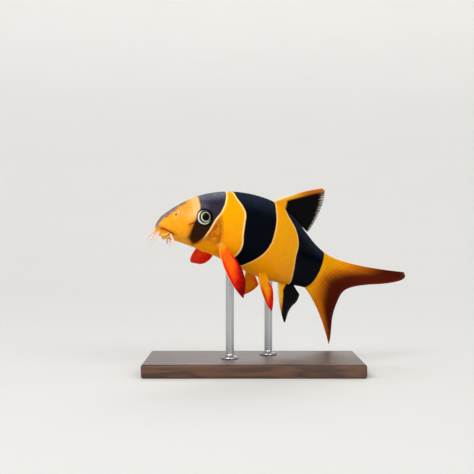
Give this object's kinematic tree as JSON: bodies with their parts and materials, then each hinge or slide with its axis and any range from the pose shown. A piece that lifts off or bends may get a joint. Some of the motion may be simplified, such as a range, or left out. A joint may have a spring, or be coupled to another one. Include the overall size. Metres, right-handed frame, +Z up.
{
  "type": "clown loach model on a stand",
  "caption": "Life-size clown loach as a still museum model in a swimming pose, with fins, eyes and barbels, on a flat wooden base with two short rods.",
  "frame": {"origin": "centre of the underside of the stand's base", "axes": "+Z up, +X along the longest side of the stand towards the fish's tail, +Y away from the viewer, so that the fish shows its left flank to -Y"},
  "size_m": [0.1028, 0.0805, 0.0688],
  "materials": {
    "face_skin": "moist, smooth, nearly scaleless skin, painted in life colours",
    "body_skin": "moist, smooth orange skin with three blue-black bands",
    "dark_fin": "black fin membrane with an orange leading edge",
    "tail_fin": "orange fin membrane that darkens towards the fork",
    "red_fin": "orange fin membrane with red edges and tip",
    "eye": "clear gloss over a dark pupil and a silver iris",
    "barbel": "soft pale pink skin",
    "stand_wood": "satin walnut with rounded edges",
    "stand_steel": "finely brushed"
  },
  "bodies": {
    "root": {"head": "face_skin", "trunk": "body_skin", "tail_stem": "body_skin", "dorsal_fin": "dark_fin", "anal_fin": "dark_fin", "caudal_fin_upper": "tail_fin", "caudal_fin_lower": "tail_fin", "pectoral_fin_left": "red_fin", "pectoral_fin_right": "red_fin", "pelvic_fin_left": "red_fin", "pelvic_fin_right": "red_fin", "eye_left": "eye", "eye_right": "eye", "barbel_rostral_outer_left": "barbel", "barbel_rostral_outer_right": "barbel", "barbel_rostral_inner_left": "barbel", "barbel_rostral_inner_right": "barbel", "barbel_maxillary_left": "barbel", "barbel_maxillary_right": "barbel", "barbel_mandibular_left": "barbel", "barbel_mandibular_right": "barbel", "stand_base": "stand_wood", "stand_rod_front": "stand_steel", "stand_rod_rear": "stand_steel"}
  },
  "joints": []
}
